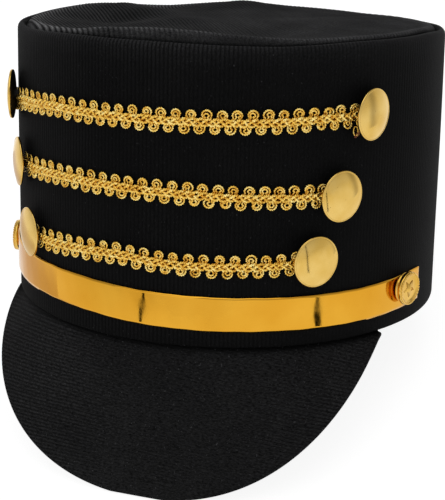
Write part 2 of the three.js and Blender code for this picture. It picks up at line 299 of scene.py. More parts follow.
def along(table, angle):
    """Value of a table of (angle, value) rows, half straight and half eased between rows."""
    angles = np.array([row[0] for row in table], float)
    values = np.array([row[1] for row in table], float)
    angle = np.asarray(angle, float)
    row = np.clip(np.searchsorted(angles, angle, side="right") - 1, 0, len(table) - 2)
    share = np.clip((angle - angles[row]) / (angles[row + 1] - angles[row]), 0, 1)
    eased = (share + (1 - np.cos(math.pi * share)) / 2) / 2
    return values[row] + (values[row + 1] - values[row]) * eased


def fade(value, start, end, low=0):
    """Runs from low at the start to 1 at the end, which may lie on either side of it."""
    return np.clip((value - start) / (end - start), low, 1)


def crowded(count, share, reach=1):
    """Steps from -1 to 1 that crowd toward both ends, by a share of a sine over that reach."""
    even = np.linspace(-1, 1, count)
    bent = np.sin(even * np.pi / 2 * reach) / math.sin(math.pi / 2 * reach)
    return bent * share + even * (1 - share)


def bearing(x, y):
    """Angle round the crown from its front, in degrees."""
    return np.degrees(np.arctan2(x, -y))


def wall_radius(height):
    """Outer radius of the wall, which tapers upward."""
    return CROWN_RADIUS - CROWN_TAPER * height


def on_crown(radius, angle, height):
    """Points round the crown's axis."""
    turn = np.radians(angle)
    radius, turn, height = np.broadcast_arrays(radius, turn, height)
    return np.stack([radius * np.sin(turn), -radius * np.cos(turn), height], -1)


def unit(vectors):
    return vectors / np.maximum(np.linalg.norm(vectors, axis=-1, keepdims=True), 1e-12)


def grid_faces(rows, columns, around_rows=False, around_columns=False):
    """Quads of a grid of points stored row by row."""
    row = np.arange(rows if around_rows else rows - 1)[:, None]
    column = np.arange(columns if around_columns else columns - 1)[None, :]
    next_row = (row + 1) % rows
    next_column = (column + 1) % columns
    quads = np.stack([
        row * columns + column,
        row * columns + next_column,
        next_row * columns + next_column,
        next_row * columns + column,
    ], -1)
    return quads.reshape(-1, 4)


def border(rows, columns):
    """Rows and columns of the places round a grid's border, along its first row first."""
    across, down = np.arange(columns - 1), np.arange(rows - 1)
    row = np.concatenate([0 * across, down, 0 * across + rows - 1, rows - 1 - down])
    column = np.concatenate([across, 0 * down + columns - 1, columns - 1 - across, 0 * down])
    return row, column


def put(name, data, matrix=None):
    """Object in the scene, where the matrix places it."""
    made = bpy.data.objects.new(name, data)
    bpy.context.scene.collection.objects.link(made)
    if matrix is not None:
        made.matrix_world = matrix
    return made


def build(name, parts, materials, replaced):
    """Piece in place of a node, from (points, quads, material number, tone if any) parts."""
    points, quads, numbers, tones = [], [], [], []
    count = 0
    for part_points, part_quads, number, *tone in parts:
        part_points = np.asarray(part_points, float).reshape(-1, 3)
        points.append(part_points)
        tones.append(tone[0].ravel() if tone else np.ones(len(part_points)))
        quads.append(np.asarray(part_quads) + count)
        numbers.append(np.full(len(part_quads), number))
        count += len(part_points)
    turned_hat = np.array(HAT)
    points = np.concatenate(points) * MM @ turned_hat[:3, :3].T + turned_hat[:3, 3]
    quads = np.concatenate(quads)
    mesh = bpy.data.meshes.new(name)
    mesh.from_pydata(points.tolist(), [], quads.tolist())
    mesh.polygons.foreach_set("material_index", np.concatenate(numbers).astype(np.int32))
    mesh.polygons.foreach_set("use_smooth", np.ones(len(quads), bool))
    mesh.validate(clean_customdata=False)
    mesh.update()
    # The tone attribute carries the painted shade, highlights and sheen of the cloth pieces
    mesh.attributes.new("tone", "FLOAT", "POINT").data.foreach_set("value", np.concatenate(tones))
    for surface in materials:
        mesh.materials.append(surface)
    piece = put(name, mesh)
    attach(piece, "root")
    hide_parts(replaced)
    return piece


def weld(piece, distance=1e-6):
    """Joins points that lie on each other and turns all faces outward."""
    shape = bmesh.new()
    shape.from_mesh(piece.data)
    bmesh.ops.remove_doubles(shape, verts=shape.verts, dist=distance)
    bmesh.ops.recalc_face_normals(shape, faces=shape.faces)
    shape.to_mesh(piece.data)
    shape.free()


# Materials

def material(name, **sockets):
    """Material with one Principled shader; the sockets given are set on it directly."""
    made = bpy.data.materials.new(name)
    made.use_nodes = True
    shader = made.node_tree.nodes["Principled BSDF"]
    for socket, value in sockets.items():
        shader.inputs[socket.replace("_", " ")].default_value = value
    return made, made.node_tree, shader


def feed(shader, **outputs):
    """Links outputs to the sockets of the shader that they are named after."""
    for socket, output in outputs.items():
        shader.id_data.links.new(output, shader.inputs[socket.replace("_", " ")])


def add(tree, kind, inputs=None, **settings):
    """Node with its settings and its inputs, which are values or other nodes' outputs."""
    node = tree.nodes.new(kind)
    for setting, value in settings.items():
        setattr(node, setting, value)
    for key, value in (inputs or {}).items():
        socket = node.inputs[key]
        if isinstance(value, bpy.types.NodeSocket):
            tree.links.new(value, socket)
        else:
            socket.default_value = value
    return node


def maths(tree, operation, *values):
    """Result of a sum on values or outputs."""
    return add(tree, "ShaderNodeMath", dict(enumerate(values)), operation=operation).outputs[0]


def object_place(tree, scale=(1, 1, 1)):
    """Place in the hat's own frame, in metres, times a scale."""
    place = add(tree, "ShaderNodeTexCoord")
    inputs = {
        "Vector": place.outputs["Object"],
        "Location": HAT.to_translation(),
        "Rotation": HAT.to_euler(),
        "Scale": [1 / size for size in scale],
    }
    return add(tree, "ShaderNodeMapping", inputs, vector_type="TEXTURE").outputs[0]


def noise(tree, place, scale, detail=2, roughness=0.5):
    inputs = {"Vector": place, "Scale": scale, "Detail": detail, "Roughness": roughness}
    return add(tree, "ShaderNodeTexNoise", inputs).outputs["Fac"]


def ramp(tree, value, *stops, interpolation="LINEAR"):
    """Colour by value from stops of (position, colour), where one number stands for a grey."""
    node = add(tree, "ShaderNodeValToRGB", {"Fac": value})
    node.color_ramp.interpolation = interpolation
    while len(node.color_ramp.elements) < len(stops):
        node.color_ramp.elements.new(0.5)
    for element, (position, colour) in zip(node.color_ramp.elements, stops):
        element.position = position
        element.color = (*colour, 1) if isinstance(colour, tuple) else (colour, colour, colour, 1)
    return node.outputs["Color"]


def mixed(tree, share, first, second, blend_type="MIX"):
    """Mix of two colours, whose inputs on the node have the numbers 6 and 7."""
    node = add(tree, "ShaderNodeMix", data_type="RGBA", blend_type=blend_type)
    for key, value in ((0, share), (6, first), (7, second)):
        if isinstance(value, bpy.types.NodeSocket):
            tree.links.new(value, node.inputs[key])
        else:
            node.inputs[key].default_value = value if key == 0 else (*value, 1)
    return node.outputs[2]


def bump(tree, height, distance, strength, normal=None):
    inputs = {"Height": height, "Distance": distance, "Strength": strength}
    if normal is not None:
        inputs["Normal"] = normal
    return add(tree, "ShaderNodeBump", inputs).outputs["Normal"]


def cloth(name, dark, light, thread_scale, shine, grain=(0.3, 1.9), lint_from=0.7, lint=0.026):
    """Matt black cloth: uneven dye, grainy yarn, the pieces' painted shade and highlights, crossing threads
    as bump and a few specks of lint.
    """
    made, tree, shader = material(name, Roughness=0.75, Specular_IOR_Level=shine, Sheen_Weight=0.2 * shine,
                                  Sheen_Roughness=0.4)
    place = object_place(tree)
    dye = ramp(tree, noise(tree, place, 28, 3), (0.3, dark), (0.75, light))
    # The tone attribute holds each piece's painted shade, painted highlights and painted sheen, with some
    # mottle
    rib_tones = add(tree, "ShaderNodeAttribute", attribute_name="tone").outputs["Fac"]
    yarn = noise(tree, object_place(tree, thread_scale), 1, 2, 0.7)
    yarn_tones = ramp(tree, yarn, (0.3, grain[0]), (0.72, grain[1]))
    tones = {0: dye, "Scale": maths(tree, "MULTIPLY", rib_tones, yarn_tones)}
    woven = add(tree, "ShaderNodeVectorMath", tones, operation="SCALE").outputs[0]
    specks = ramp(tree, noise(tree, place, 1300, 1), (lint_from, 0), (lint_from + 0.07, 1))
    crossing = bump(tree, yarn, 0.00012, 0.7)
    feed(
        shader,
        Base_Color=mixed(tree, specks, woven, (lint, lint, 1.05 * lint)),
        Normal=bump(tree, noise(tree, place, 2600, 2), 0.00006, 0.6, crossing),
    )
    return made


def foil():
    """Mirror foil, a little cloudy in patches and dull in others."""
    made, tree, shader = material("gold_foil", Metallic=1.0)
    place = object_place(tree)
    clouds = noise(tree, place, 42, 3)
    feed(
        shader,
        Base_Color=ramp(tree, clouds, (0.3, (0.67, 0.315, 0.022)), (0.7, (0.75, 0.385, 0.036))),
        Roughness=ramp(tree, noise(tree, place, 120, 4), (0.45, 0.05), (0.8, 0.16)),
        Normal=bump(tree, noise(tree, place, 260, 2), 0.00002, 0.35),
    )
    return made


def mottled(name, patches, stops, grain, depth, strength, **sockets):
    """Material that wavers between colours over patches of noise, with bumps of a finer grain."""
    made, tree, shader = material(name, **sockets)
    place = object_place(tree)
    feed(
        shader,
        Base_Color=ramp(tree, noise(tree, place, *patches), *stops),
        Normal=bump(tree, noise(tree, place, grain), depth, strength),
    )
    return made


def cord():
    """Metallic thread: bright gold with darker and redder thread here and there."""
    golds = [(0.28, (0.56, 0.27, 0.03)), (0.48, (0.9, 0.57, 0.1)), (0.68, (1.0, 0.82, 0.32))]
    return mottled("gold_cord", (420, 2, 0.7), golds, grain=3200, depth=0.00008, strength=0.8,
                   Metallic=1.0, Roughness=0.24)


def gilt(name, dark, light, roughness):
    """Polished pale gilt with faint tarnish, fine wiping marks and tiny pits."""
    made, tree, shader = material(name, Metallic=1.0)
    place = object_place(tree)
    tarnish = ramp(tree, noise(tree, place, 110, 3), (0.32, dark), (0.68, light))
    pits = ramp(tree, noise(tree, place, 800, 1), (0.76, 0), (0.79, 1))
    marks = noise(tree, object_place(tree, (900, 900, 160)), 1, 3)
    feed(
        shader,
        Base_Color=mixed(tree, pits, tarnish, (0.34, 0.2, 0.05)),
        Roughness=ramp(tree, marks, (0.3, roughness * 0.8), (0.8, roughness * 1.3)),
        Normal=bump(tree, noise(tree, place, 140, 1), 0.00003, 0.15),
    )
    return made


def frayed_thread():
    """Loose core threads at the cut ends of the braid, from gold to red-brown."""
    browns = [(0.4, (0.16, 0.035, 0.008)), (0.66, (0.6, 0.3, 0.05))]
    return mottled("frayed_thread", (300, 2), browns, grain=3000, depth=0.00005, strength=0.5,
                   Metallic=0.4, Roughness=0.5)


def dark_shell():
    """Near-black back of a button."""
    blacks = [(0.35, (0.004, 0.004, 0.004)), (0.7, (0.011, 0.009, 0.007))]
    return mottled("dark_shell", (300, 3), blacks, grain=900, depth=0.00005, strength=0.4,
                   Roughness=0.55, Specular_IOR_Level=0.2)


CROWN_CLOTH = cloth("crown_cloth", (0.0017, 0.0017, 0.0018), (0.0028, 0.0028, 0.0029), (2600, 2600, 1300),
                    0.045, lint_from=0.73)
# The top is the same black cloth painted far paler than the crown's, as painted overhead light and sheen,
# with almost no shine of its own
TOP_CLOTH = cloth("top_cloth", (0.016, 0.016, 0.0165), (0.026, 0.026, 0.0265), (1900, 1900, 1900), 0.004)
VISOR_CLOTH = cloth("visor_cloth", (0.0046, 0.0046, 0.0048), (0.0072, 0.0072, 0.0074), (750, 1000, 2100),
                    0.05, grain=(0.1, 2.2), lint_from=0.7, lint=0.036)
FOIL = foil()
CORD = cord()
GILT = gilt("pale_gilt", (0.68, 0.43, 0.095), (0.76, 0.52, 0.155), 0.11)
GILT_STRAP = gilt("warm_gilt", (0.66, 0.38, 0.06), (0.76, 0.48, 0.11), 0.13)
FRAYED = frayed_thread()
SHELL = dark_shell()


# Cloth pieces

def rib(phase):
    """Height of a row of ribs, 1 on their rounded backs and 0 in the grooves between them."""
    return np.abs(np.cos(np.pi * phase)) ** RIB_ROUNDNESS


def rib_tone(ribs, contrast):
    """Painted light on the cloth: a painted highlight on the backs of the ribs and painted shade in the
    grooves between them.
    """
    return np.exp(RIB_TONE_GAIN * contrast * (ribs - RIB_TONE_MIDDLE))


def section_normals(radii, heights):
    """Outward normals of a closed cross-section that runs up its outer side."""
    step_r = np.roll(radii, -1, 0) - np.roll(radii, 1, 0)
    step_z = np.roll(heights, -1, 0) - np.roll(heights, 1, 0)
    length = np.maximum(np.hypot(step_r, step_z), 1e-9)
    return step_z / length, -step_r / length


def crown():
    """Ribbed wall with a folded foot and a rolled rim, plain inside."""
    ribs = round(2 * math.pi * CROWN_RADIUS / RIB_PITCH)
    columns = ribs * CROWN_RIB_SAMPLES
    angle = np.linspace(-180, 180, columns, endpoint=False)
    rim = along(RIM_HEIGHTS, angle)
    foot_top, roll_depth, inner_depth = FOOT_PROFILE[-1][1], RIM_PROFILE[0][1], RIM_PROFILE[-1][1]
    outside, inside = rim - foot_top - roll_depth, rim - inner_depth
    # Each level runs round the crown: inset, height, share of the ribs
    levels = list(FOOT_PROFILE)
    levels += [(0, foot_top + share * outside, 1) for share in np.linspace(0, 1, WALL_LEVELS)[1:-1]]
    levels += [(inset, rim - below, rib_share) for inset, below, rib_share in RIM_PROFILE]
    levels += [(WALL, share * inside, 0) for share in (0.8, 0.5, 0.2)]
    levels += [(WALL, 0.5, 0)]
    insets, heights, ribbed = [
        np.array([np.broadcast_to(value, columns) for value in column], dtype=float)
        for column in zip(*levels)
    ]
    turn = np.radians(angle)
    sway = 0.16 * np.sin(3 * turn + 1.1 + heights / 34) + 0.1 * np.sin(7 * turn - heights / 21)
    on_face = insets < 0.01
    radii = wall_radius(heights) - insets + sway * on_face * np.sin(np.clip(heights / rim, 0, 1) * np.pi)
    normal_r, normal_z = section_normals(radii, heights)
    ridges = rib(ribs * angle / 360)
    # The ribs show least on the wearer's left of the front
    shown = 1 - 0.7 * fade(angle, 5, 40) * fade(angle, 110, 80)
    lift = RIB_DEPTH * (0.1 + 0.9 * shown) * (ridges - RIB_MEAN) * ribbed
    points = on_crown(radii + lift * normal_r, angle, heights + lift * normal_z)
    tone = crown_tone(angle, rim, heights, insets, ridges, ribbed, shown)
    quads = grid_faces(len(levels), columns, around_rows=True, around_columns=True)
    build("crown_wall_cloth", [(points, quads, 0, tone)], [CROWN_CLOTH], "crown_wall")


def crown_tone(angle, rim, heights, insets, ridges, ribbed, shown):
    """Painted light on the wall: the painted rib shading stands out near the rim and the foot; the rim has
    a painted sheen, and painted shade darkens its inner side and the very foot.
    """
    turn = np.radians(angle)
    below = np.maximum(rim - heights, 0)
    near_rim = np.exp(-below / (6 - 3.4 * fade(angle, -12, 13)))
    near_rim = near_rim * (1 - 0.8 * fade(angle, 52, 70) * fade(angle, 115, 85))
    near_foot = np.exp(-np.maximum(heights, 0) / 16)
    patches = 0.5 + 0.5 * np.sin(5 * turn + heights / 23) * np.sin(11 * turn - heights / 31 + 2)
    contrast = np.clip((0.18 + 0.3 * patches + 0.5 * near_foot) * shown + 0.75 * near_rim, 0, 1)
    # Painted sheen along the top of the rim, strongest at its top
    sheen = 1 + RIM_SHEEN * (np.exp(-below / 2.2) + 0.2 * np.exp(-below / 9))
    # Painted shade on the inside of the rolled rim and along the very foot
    shade = fade(insets, 2.75, 2.25, low=0.06) * fade(heights, -0.12, 1.08, low=0.1)
    return rib_tone(ridges, contrast * ribbed) * sheen * shade


def top_surface(x, y):
    """Height of the soft top: it sinks toward the middle, with puffs, hollows and an edge welt."""
    angle = bearing(x, y)
    turn = np.radians(angle)
    distance = np.hypot(x, y)
    rim = along(RIM_HEIGHTS, angle)
    share = np.minimum(distance / CROWN_RADIUS, 1) ** TOP_SINK_POWER
    height = TOP_MIDDLE_HEIGHT + (rim - TOP_MIDDLE_HEIGHT) * share
    for puff in TOP_PUFFS:
        away = np.hypot(x - puff["x"], y - puff["y"]) / puff["reach"]
        height = height + puff["height"] * np.exp(-away * away)
    inset = np.maximum(TOP_RADIUS - distance, 0)
    pucker = 1 + 0.16 * np.sin(23 * turn + 2 * np.sin(5 * turn)) + 0.1 * np.sin(41 * turn + 1)
    roll = along(TOP_ROLL, angle)
    rise = TOP_WELT_RISE * (0.75 + 0.25 * np.cos(turn)) + roll
    inner = np.exp(-(((inset - TOP_WELT_INSET) / (TOP_WELT_REACH + 0.9 * roll)) ** 2))
    outer = rise - (rise + TOP_EDGE_DROP) * (1 - np.minimum(inset / TOP_WELT_INSET, 1)) ** TOP_EDGE_POWER
    welt = np.where(inset < TOP_WELT_INSET, outer, rise * (inner * pucker + (1 - pucker) * inner ** 4))
    edge = fade(inset, 0, TOP_EDGE_BLEND)
    blend = edge * edge * (3 - 2 * edge)
    return rim + welt + (height - rim) * blend


def surface_normals(x, y, step=0.2):
    """Upward normals of the soft top."""
    slope_x = (top_surface(x + step, y) - top_surface(x - step, y)) / (2 * step)
    slope_y = (top_surface(x, y + step) - top_surface(x, y - step)) / (2 * step)
    return unit(np.stack([-slope_x, -slope_y, np.ones_like(slope_x)], -1))


def top():
    """Soft ribbed top panel, whose ribs run straight across it, with a hem and an underside."""
    columns = round(2 * TOP_RADIUS / RIB_PITCH) * TOP_RIB_SAMPLES + 1
    across = crowded(columns, 0.25, 0.9) * TOP_RADIUS * JUST_INSIDE
    chord = np.sqrt(TOP_RADIUS ** 2 - across ** 2)
    u = np.broadcast_to(across[None, :], (TOP_ROWS, columns))
    v = crowded(TOP_ROWS, 1)[:, None] * chord[None, :]
    turn = math.radians(TOP_RIB_TURN)
    x = u * math.cos(turn) + v * math.sin(turn)
    y = u * math.sin(turn) - v * math.cos(turn)
    inset = TOP_RADIUS - np.hypot(x, y)
    ridges = rib(u / RIB_PITCH + 0.12 * np.sin(v / 17 + u / 29))
    lift = 2 * RIB_DEPTH * fade(inset, 0, 1.5) * (ridges - RIB_MEAN)
    surface = np.stack([x, y, top_surface(x, y)], -1) + surface_normals(x, y) * lift[..., None]
    row, column = border(TOP_ROWS, columns)
    skirt = top_skirt(surface[row, column])
    parts = [
        (surface, grid_faces(TOP_ROWS, columns)[:, ::-1], 0, top_tone(x, y, inset, ridges)),
        (skirt, grid_faces(len(skirt), len(row), around_columns=True), 0),
    ]
    weld(build("crown_top_cloth", parts, [TOP_CLOTH], "crown_top"))


def top_tone(x, y, inset, ridges):
    """Painted light on the top: a painted sheen makes it paler and plainer toward the wearer's left, with
    painted highlight strokes on the right, a painted highlight on the welt and painted shade on the roll's
    face and in the edge groove.
    """
    # Painted sheen that lightens the top toward the wearer's left and flattens its rib shading there
    leftward = fade(x, -75, 35)
    angle = bearing(x, y)
    rolled = fade(along(TOP_ROLL, angle), 0, 2)
    # Painted highlight along the welt, and painted shade on the face of the higher roll
    welt = np.exp(-(((inset - TOP_WELT_INSET) / (2.6 - 1.2 * rolled)) ** 2))
    face = rolled * fade(inset, TOP_WELT_INSET - 0.6, TOP_WELT_INSET - 1.8)
    # Painted highlight strokes toward the wearer's right, strongest near the edge
    strokes = (1 - leftward) * np.exp(-inset / 9)
    contrast = np.clip(1.5 - 1.35 * leftward + 0.5 * welt + 0.4 * strokes - 0.4 * face, 0, 1.7)
    mottle = 1 + 0.15 * np.sin(x / 6 + 2 * np.sin(y / 17)) * np.sin(y / 9 + 1.5 * np.sin(x / 14))
    tone = 0.3 + 0.68 * leftward + 0.7 * welt + 0.9 * strokes
    tone = rib_tone(ridges, contrast) * tone * mottle * (1 - 0.2 * face)
    # Painted shade in the groove at the top's edge, less deep toward the wearer's right
    dark_edge = 0.5 - 0.35 * rolled
    shade = fade(inset, dark_edge, dark_edge + 1.2 - 0.5 * rolled, low=0.06)
    return tone * (shade + (1 - shade) * 0.5 * fade(angle, -25, -45))


def top_skirt(edge):
    """Rings of points from the top's edge down the hem and in along its underside."""
    distance = np.hypot(edge[:, 0], edge[:, 1])
    hem = along(RIM_HEIGHTS, bearing(edge[:, 0], edge[:, 1])) - TOP_HEM_DROP
    levels = [edge]
    for radius, rise in TOP_HEM:
        levels.append(np.column_stack([edge[:, :2] * (radius / distance)[:, None], hem + rise]))
    for share in TOP_UNDERSIDE_SHARES:
        under = edge[:, :2] * (TOP_INNER_RADIUS / distance)[:, None] * share
        levels.append(np.column_stack([under, top_surface(under[:, 0], under[:, 1]) - TOP_THICKNESS]))
    return np.stack(levels)


def visor_length(turn):
    """Length of the peak from its seam to its edge."""
    span = visor_point(turn, np.ones_like(turn)) - visor_point(turn, np.zeros_like(turn))
    return np.linalg.norm(span, axis=-1)


def visor_point(turn, share):
    """Point of the peak's outer face: share 0 at the seam and 1 at the edge."""
    side, front = np.sin(np.radians(turn)), np.cos(np.radians(turn))
    seam = on_crown(VISOR_SEAM_RADIUS, VISOR_SPAN * turn / 90, -VISOR_SEAM_DROP)
    forward = 1 - (1 - front) ** VISOR_SIDE_POWER
    edge = np.stack([
        VISOR_HALF_WIDTH * side,
        -(VISOR_END_BACK + (VISOR_REACH - VISOR_END_BACK) * forward),
        visor_edge_height(turn),
    ], -1)
    share = np.asarray(share)[..., None]
    point = seam + (edge - seam) * share
    out = unit(point * [1, 1, 0])
    return point + out * VISOR_BULGE * front[..., None] * 4 * share * (1 - share)


def visor_edge_height(turn):
    """Height of the peak's edge, which is cut level where the hat stands on it."""
    front = np.cos(np.radians(turn))
    return -np.minimum(VISOR_DROP * front ** VISOR_DROP_POWER, VISOR_LEVEL) - VISOR_SEAM_DROP


def visor_turn(depth):
    """Turn at which the peak's edge lies at a depth below the seam."""
    front = np.clip(depth / VISOR_DROP, 0, 1) ** (1 / VISOR_DROP_POWER)
    return np.minimum(np.degrees(np.arccos(front)), VISOR_END_ANGLE)


def visor():
    """Peak in ribbed cloth, whose ribs are straight on the flat cloth and so bow down to its sides."""
    # The last row stays just above the level cut, whose edge it couldn't follow
    deepest = VISOR_LEVEL - 0.02
    rows = round(deepest / VISOR_RIB_PITCH * VISOR_RIB_SAMPLES)
    depth = np.linspace(0.0, deepest, rows)[:, None]
    turn = crowded(VISOR_COLUMNS, 0.45)[None, :] * visor_turn(depth)
    reach = -visor_edge_height(turn) - VISOR_SEAM_DROP
    share = np.clip(depth / reach, 0, 1) * (1 - VISOR_HEM / visor_length(turn))
    base = visor_point(turn, share)
    step = 0.02
    across = visor_point(turn + step, share) - visor_point(turn - step, share)
    down = visor_point(turn, share + step) - visor_point(turn, share - step)
    normal = unit(np.cross(down, across))
    along_seam = CROWN_RADIUS * np.arctan2(base[..., 0], -base[..., 1])
    bowed = depth - VISOR_RIB_TILT * along_seam - VISOR_RIB_BOW * along_seam ** 2
    ridges = rib(bowed / VISOR_RIB_PITCH + 0.16 * np.sin(turn / 19 + depth / 14))
    near_edge = fade((1 - share) * reach, 0, 1.6)
    lift = 1.3 * RIB_DEPTH * (ridges - RIB_MEAN) * (0.25 + 0.75 * near_edge)
    outer = base + normal * lift[..., None]
    inner = base - normal * VISOR_THICKNESS
    column, row = border(VISOR_COLUMNS, rows)
    folds = visor_folds(base[row, column], normal[row, column], (row == 0)[:, None])
    skirt = np.stack([outer[row, column], *folds, inner[row, column]])
    quads = grid_faces(rows, VISOR_COLUMNS)
    parts = [
        (outer, quads, 0, visor_tone(base, turn, depth, ridges)),
        (skirt, grid_faces(len(skirt), len(row), around_columns=True), 0),
        (inner, quads[:, ::-1], 0),
    ]
    weld(build("visor_cloth", parts, [VISOR_CLOTH], "visor"))


def visor_tone(base, turn, depth, ridges):
    """Painted rib shading stands out at both sides, in patches on the wearer's left, and painted shade
    darkens the cloth along the seam.
    """
    patches = 0.5 + 0.5 * np.sin(turn / 13 + depth / 11) * np.sin(turn / 7 - depth / 17)
    right_side = fade(base[..., 0], -8, -53)
    left_side = fade(base[..., 0], 45, 75)
    contrast = 0.05 + 0.16 * patches + 0.76 * right_side + 0.6 * left_side * (0.4 + 0.6 * patches)
    # Painted shade along the seam with the crown
    return rib_tone(ridges, np.clip(contrast, 0, 0.9)) * 1.12 * fade(depth, 0.9, 3.3, low=0.08)


def visor_folds(base, normal, at_seam):
    """Rings of points round the peak's edge: folded over at the edge, tucked up at the seam."""
    heart = np.array([0, -VISOR_REACH * 0.93, -VISOR_DROP * 0.35])
    outward = unit(base - normal * VISOR_THICKNESS / 2 - heart)
    outward = unit(outward - normal * (outward * normal).sum(-1, keepdims=True))
    rings = []
    for hem_share, depth in VISOR_FOLD:
        folded = base + outward * hem_share * VISOR_HEM - normal * depth
        tucked = base * [1, 1, 0] + np.array([0, 0, VISOR_TUCK]) - normal * [1, 1, 0] * depth
        rings.append(np.where(at_seam, tucked, folded))
    return rings


# Gold band

def band():
    """Thin foil strip with the slack waves and small creases of a glued foil."""
    angle = np.linspace(BAND_ROUTE[0][0], BAND_ROUTE[-1][0], BAND_COLUMNS)[None, :]
    share = np.linspace(-1, 1, BAND_ROWS)[:, None]
    turn = np.radians(angle)
    edge_wave = 0.05 * np.sin(31 * turn) + 0.04 * np.sin(57 * turn + 1)
    height = along(BAND_ROUTE, angle) + share * (BAND_HALF_HEIGHT + edge_wave)
    slack = 0.07 * np.sin(13 * turn + 0.6 * share) + 0.025 * np.sin(37 * turn - share + 1)
    creases = 0.008 * np.sin(83 * turn + 2 * share)
    belly = -0.05 * share ** 2
    outside = wall_radius(height) + GAP + BAND_THICKNESS + slack + creases + belly
    outer = on_crown(outside, angle, height)
    inner = on_crown(wall_radius(height) + BAND_BACK_GAP, angle, height)
    quads = [grid_faces(2 * BAND_ROWS, BAND_COLUMNS, around_rows=True)]
    for column in (0, BAND_COLUMNS - 1):
        outer_row = np.arange(BAND_ROWS - 1)
        inner_row = 2 * BAND_ROWS - 1 - outer_row
        corners = np.column_stack([outer_row, outer_row + 1, inner_row - 1, inner_row])
        quads.append(corners * BAND_COLUMNS + column)
    parts = [(np.concatenate([outer, inner[::-1]]), np.concatenate(quads), 0)]
    weld(build("gold_band_foil", parts, [FOIL], "gold_band"))


# Braid

def wound(centre, outward, radius, lay, groove, sides=8, plies=2):
    """Tube along a line, its section a twist of plies, as (points, quads) with closed ends."""
    tangent = unit(np.gradient(centre, axis=0))
    across = unit(np.cross(tangent, outward))
    up = np.cross(across, tangent)
    length = np.concatenate([[0], np.cumsum(np.linalg.norm(np.diff(centre, axis=0), axis=1))])
    around = np.linspace(0, 2 * np.pi, sides, endpoint=False)[None, :]
    twist = 2 * np.pi * length[:, None] / (lay * plies)
    size = radius * (1 - groove + groove * np.cos(plies * (around - twist)))
    offset = np.cos(around)[..., None] * across[:, None, :] + np.sin(around)[..., None] * up[:, None, :]
    points = centre[:, None, :] + offset * size[..., None]
    points[0] = centre[0]
    points[-1] = centre[-1]
    return points, grid_faces(len(centre), sides, around_columns=True)


def braid_line(route, distance, offset, proud):
    """Points beside a braid's middle line: distance along it, offset up it, proud of the wall."""
    start, end = route[0][0], route[-1][0]
    angle = start + np.degrees(distance / CROWN_RADIUS)
    low, high = np.clip(angle - 0.5, start, end), np.clip(angle + 0.5, start, end)
    run = np.radians(np.maximum(high - low, 0.1)) * CROWN_RADIUS
    rise = (along(route, high) - along(route, low)) / run
    angle = angle - np.degrees(offset * rise / CROWN_RADIUS)
    height = along(route, np.clip(angle, start, end)) + offset
    centre = on_crown(wall_radius(height) + proud, angle, height)
    return centre, on_crown(1, angle, np.zeros_like(height))


def smooth_line(controls, samples):
    """Smooth curve through rows of control points, with samples between each two."""
    padded = np.concatenate([controls[:1], controls, controls[-1:]])
    t = np.linspace(0, 1, samples, endpoint=False)[None, :, None]
    a, b, c, d = (padded[k:len(padded) - 3 + k, None, :] for k in range(4))
    square = 2 * a - 5 * b + 4 * c - d
    cube = 3 * b - a - 3 * c + d
    curve = 0.5 * (2 * b + (c - a) * t + square * t ** 2 + cube * t ** 3)
    return np.concatenate([curve.reshape(-1, controls.shape[1]), controls[-1:]])


def ring_cord(draw, lobes, pitch, ring):
    """Rows (distance, offset, proud) of a cord that rounds a ring above the line and one below in turn."""
    rows = []
    for lobe in range(lobes):
        side = 1 if lobe % 2 == 0 else -1
        size = ring["radius"] * draw.uniform(0.93, 1.07)
        middle = (lobe + 0.5) * pitch / 2 + draw.normal(0, 0.16)
        offset = ring["offset"] + draw.normal(0, 0.13)
        twist = draw.normal(0, 7)
        for turn in np.linspace(90 + ring["wrap"] / 2, 90 - ring["wrap"] / 2, 7):
            angle = math.radians(turn + twist)
            high = ring["offset"] + ring["radius"] * math.sin(angle)
            proud = ring["proud"] + 0.1 * high + 0.18 * math.cos(angle) * side
            rows.append((middle + size * math.cos(angle), side * (offset + size * math.sin(angle)), proud))
    return smooth_line(np.array(rows), ring["samples"])


def plait(total, pitch, count):
    """Strands (distance, offset, proud) that pass over and under each other along the line."""
    distance = np.linspace(0, total, count)
    for strand in range(PLAIT["strands"]):
        phase = 2 * math.pi * (distance / (1.5 * pitch) + strand / PLAIT["strands"])
        wander = 0.14 * np.sin(distance / 9 + strand) + 0.1 * np.sin(distance / 2.3 + strand)
        offset = PLAIT["swing"] * np.sin(phase) + wander
        yield distance, offset, PLAIT["proud"] + PLAIT["rise"] * np.sin(2 * phase)


def frayed_end(draw, end, inward, kept):
    """Loose threads (distance, offset, proud) that curl out of a cut end, kept to a share of a full one."""
    t = np.linspace(0, 1, 14)
    for _ in range(FRAY_THREADS):
        size = draw.uniform(FRAY_SHORTEST, FRAY_LONGEST) * kept
        curl = draw.uniform(-1.6, 1.6)
        offset = draw.uniform(-FRAY_SPREAD, FRAY_SPREAD)
        offset = offset + draw.uniform(-0.5, 0.5) * size * t + curl * t ** 2
        distance = end + inward * (FRAY_INSET - size * t + curl * t * t)
        yield distance, offset, FRAY_PROUD + 1.4 * t * (1 - t) + 0.5 * t


